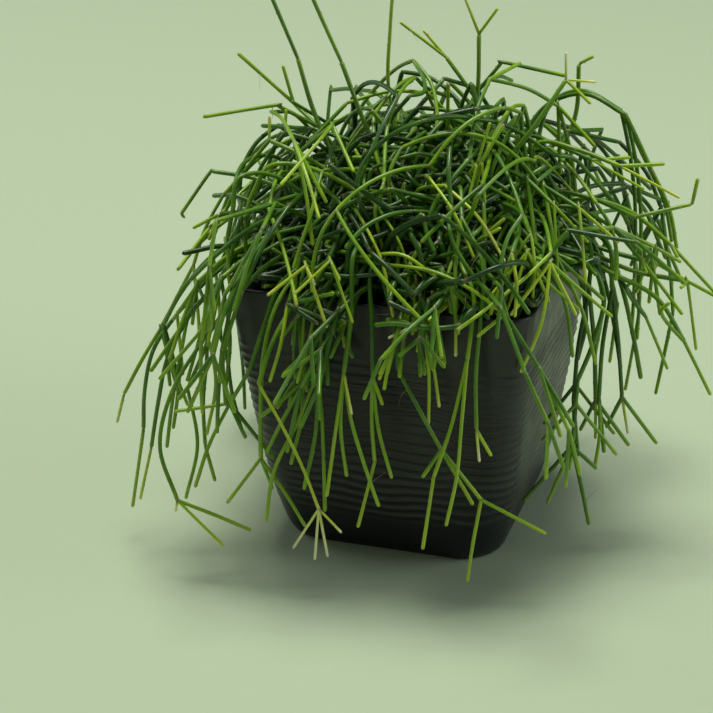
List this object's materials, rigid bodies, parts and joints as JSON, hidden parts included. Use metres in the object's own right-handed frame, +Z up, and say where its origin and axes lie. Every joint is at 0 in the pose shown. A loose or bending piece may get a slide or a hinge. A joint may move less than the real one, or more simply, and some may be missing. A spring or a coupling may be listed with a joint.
{
  "type": "potted mistletoe cactus",
  "caption": "Mistletoe cactus with thin jointed trailing stems, standing in a square dark pot with ribbed sides.",
  "frame": {"origin": "middle of the pot's flat underside", "axes": "+Z up; the pot's four sides face +X, -X, +Y and -Y, and the pictured side is -Y"},
  "size_m": [0.292, 0.2713, 0.2754],
  "materials": {
    "pot": "satin anthracite plastic with fine wavy ribs",
    "soil": "dark crumbly peat",
    "stem": "waxy green skin, paler towards the tips"
  },
  "bodies": {
    "root": {"pot": "pot", "soil": "soil", "spray_far_01": "stem", "spray_far_02": "stem", "spray_far_03": "stem", "spray_far_04": "stem", "spray_far_05": "stem", "spray_far_06": "stem", "spray_far_07": "stem", "spray_far_08": "stem", "spray_far_09": "stem", "spray_far_10": "stem", "spray_far_11": "stem", "spray_front_bow": "stem", "spray_front_bright_arc": "stem", "spray_front_diagonal": "stem", "spray_front_grey_drop": "stem", "spray_front_left_bunch": "stem", "spray_front_left_short": "stem", "spray_front_lowest": "stem", "spray_front_middle_hang": "stem", "spray_front_pale_finger": "stem", "spray_front_pale_tips": "stem", "spray_front_plumb": "stem", "spray_front_right_hang": "stem", "spray_front_tall_hang": "stem", "spray_front_yellow_fork": "stem", "spray_ground_loop": "stem", "spray_left_brow": "stem", "spray_left_cascade": "stem", "spray_left_curtain": "stem", "spray_left_elbow": "stem", "spray_left_fork": "stem", "spray_left_high": "stem", "spray_left_long_edge": "stem", "spray_left_outer": "stem", "spray_left_pointer": "stem", "spray_left_second": "stem", "spray_left_star": "stem", "spray_left_third": "stem", "spray_middle_yellow_hook": "stem", "spray_right_big_arch": "stem", "spray_right_far": "stem", "spray_right_farther": "stem", "spray_right_front_drop": "stem", "spray_right_front_fork": "stem", "spray_right_hang_fork": "stem", "spray_right_hang_long": "stem", "spray_right_high_curve": "stem", "spray_right_low_far": "stem", "spray_right_shoulder": "stem", "spray_right_straight_drop": "stem", "spray_right_yellow_point": "stem", "spray_top_arch": "stem", "spray_top_left_tall": "stem", "spray_top_left_tall_near": "stem", "spray_top_plume": "stem", "spray_top_right_back": "stem", "spray_top_right_spark": "stem", "spray_top_y": "stem"}
  },
  "joints": []
}
